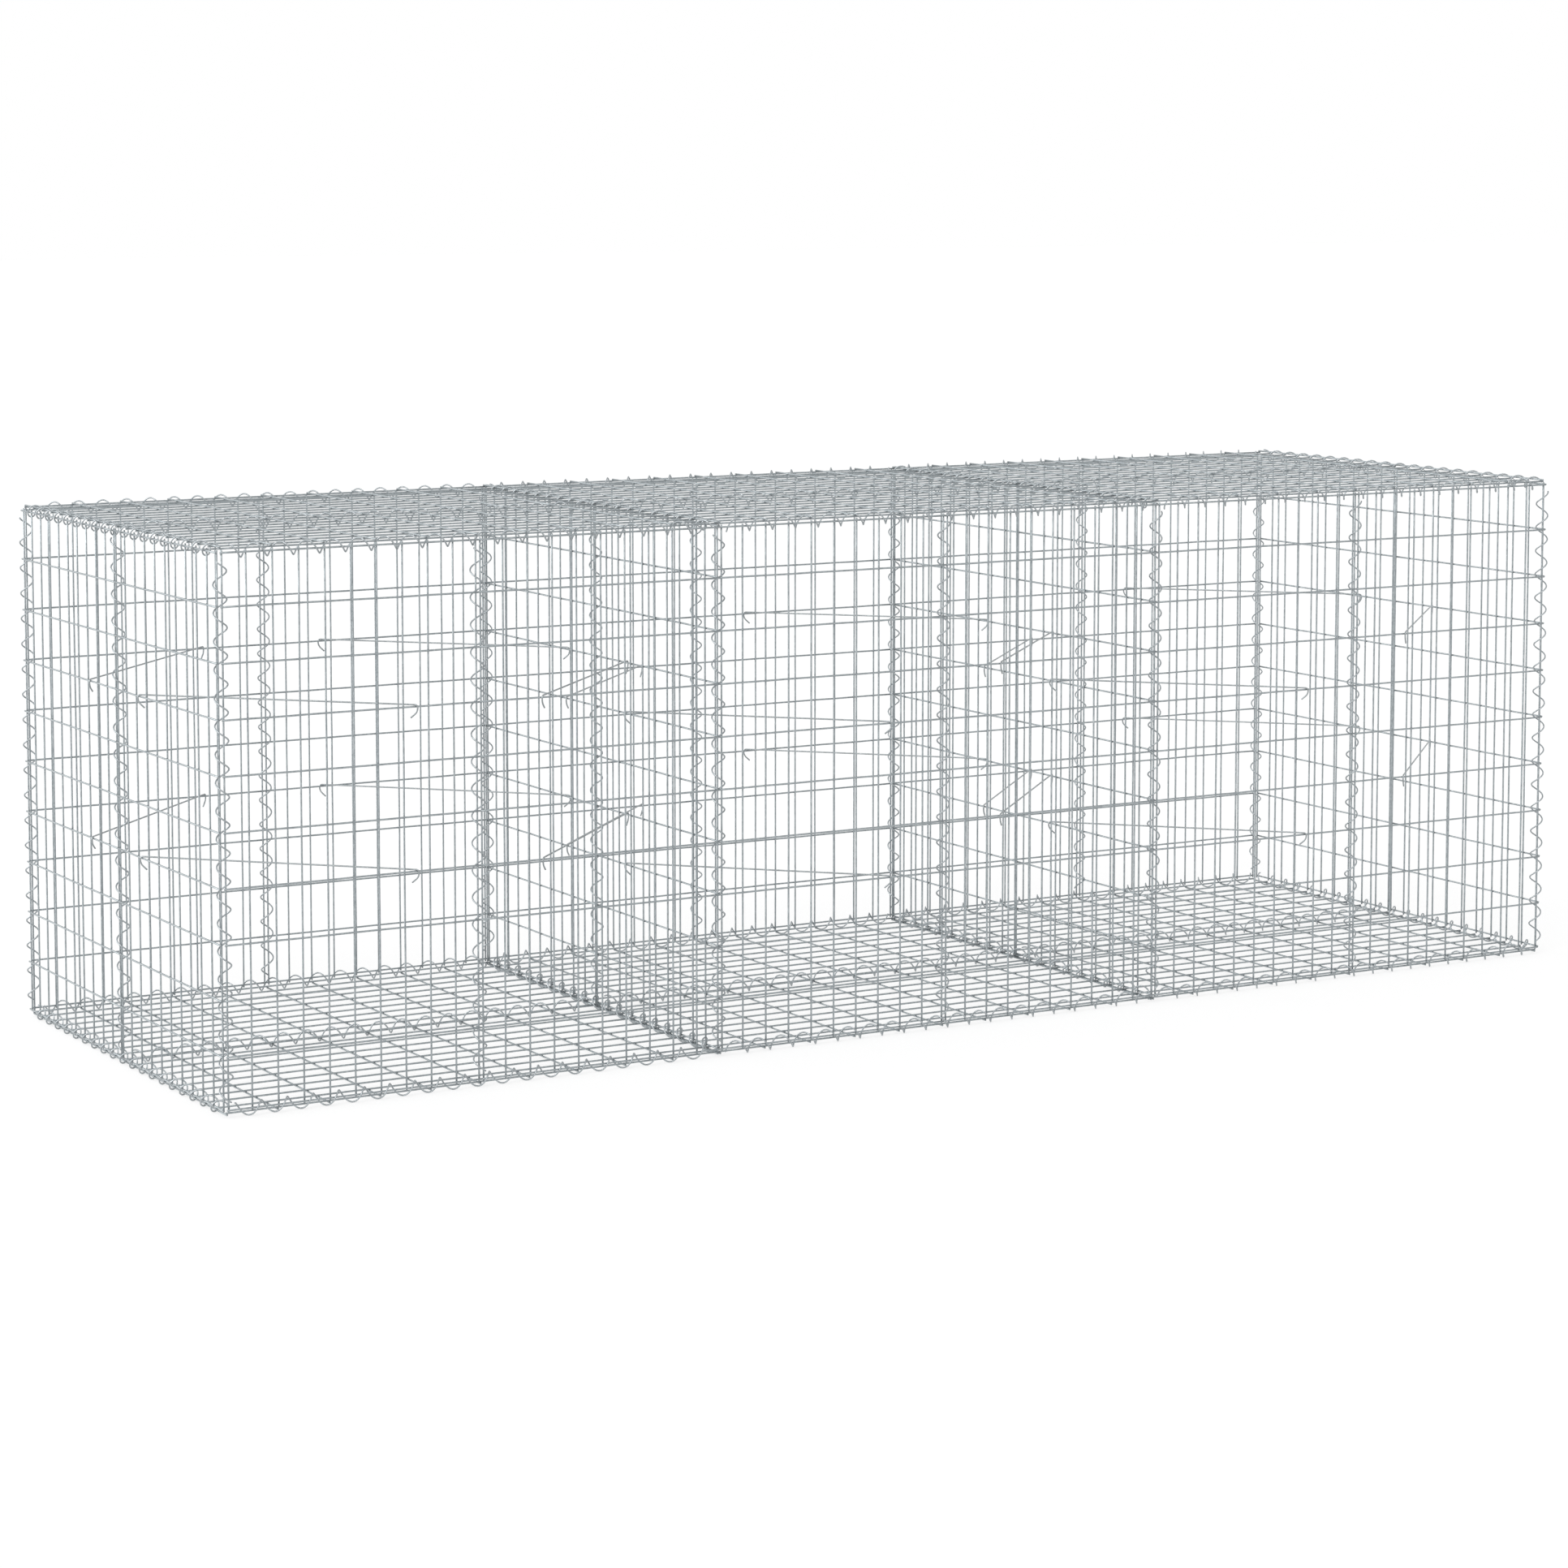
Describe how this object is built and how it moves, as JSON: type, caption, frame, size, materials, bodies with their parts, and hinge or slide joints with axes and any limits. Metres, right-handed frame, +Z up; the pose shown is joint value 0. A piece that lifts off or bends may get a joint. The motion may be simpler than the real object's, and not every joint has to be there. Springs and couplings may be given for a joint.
{
  "type": "gabion basket",
  "caption": "Empty box-shaped gabion of welded steel mesh in a row of compartments, with a closed lid, dividers, lacing spirals and hooked corner ties.",
  "frame": {"origin": "on the ground under the basket's centre, at the bottom of the lowest spirals", "axes": "+X along the basket from its left end to its right end, +Y from its front to its back, +Z up"},
  "size_m": [3.0218, 1.0218, 1.0218],
  "materials": {
    "mesh_wire": "galvanised, dull light blue-grey",
    "spiral_wire": "galvanised, drawn wire, slightly brighter",
    "tie_wire": "galvanised, drawn wire"
  },
  "bodies": {
    "root": {"front_panel_1": "mesh_wire", "front_panel_2": "mesh_wire", "front_panel_3": "mesh_wire", "back_panel_1": "mesh_wire", "back_panel_2": "mesh_wire", "back_panel_3": "mesh_wire", "base_panel_1": "mesh_wire", "base_panel_2": "mesh_wire", "base_panel_3": "mesh_wire", "lid_panel_1": "mesh_wire", "lid_panel_2": "mesh_wire", "lid_panel_3": "mesh_wire", "left_end_panel": "mesh_wire", "right_end_panel": "mesh_wire", "divider_panel_1": "mesh_wire", "divider_panel_2": "mesh_wire", "base_front_spiral_1": "spiral_wire", "base_front_spiral_2": "spiral_wire", "base_front_spiral_3": "spiral_wire", "base_back_spiral_1": "spiral_wire", "base_back_spiral_2": "spiral_wire", "base_back_spiral_3": "spiral_wire", "lid_front_spiral_1": "spiral_wire", "lid_front_spiral_2": "spiral_wire", "lid_front_spiral_3": "spiral_wire", "lid_back_spiral_1": "spiral_wire", "lid_back_spiral_2": "spiral_wire", "lid_back_spiral_3": "spiral_wire", "base_left_spiral": "spiral_wire", "base_right_spiral": "spiral_wire", "lid_left_spiral": "spiral_wire", "lid_right_spiral": "spiral_wire", "front_left_corner_spiral": "spiral_wire", "front_right_corner_spiral": "spiral_wire", "back_left_corner_spiral": "spiral_wire", "back_right_corner_spiral": "spiral_wire", "front_left_upper_tie_1": "tie_wire", "front_left_lower_tie_1": "tie_wire", "front_right_upper_tie_1": "tie_wire", "front_right_lower_tie_1": "tie_wire", "back_left_upper_tie_1": "tie_wire", "back_left_lower_tie_1": "tie_wire", "back_right_upper_tie_1": "tie_wire", "back_right_lower_tie_1": "tie_wire", "front_left_upper_tie_2": "tie_wire", "front_left_lower_tie_2": "tie_wire", "front_right_upper_tie_2": "tie_wire", "front_right_lower_tie_2": "tie_wire", "back_left_upper_tie_2": "tie_wire", "back_left_lower_tie_2": "tie_wire", "back_right_upper_tie_2": "tie_wire", "back_right_lower_tie_2": "tie_wire", "front_left_upper_tie_3": "tie_wire", "front_left_lower_tie_3": "tie_wire", "front_right_upper_tie_3": "tie_wire", "front_right_lower_tie_3": "tie_wire", "back_left_upper_tie_3": "tie_wire", "back_left_lower_tie_3": "tie_wire", "back_right_upper_tie_3": "tie_wire", "back_right_lower_tie_3": "tie_wire"}
  },
  "joints": []
}
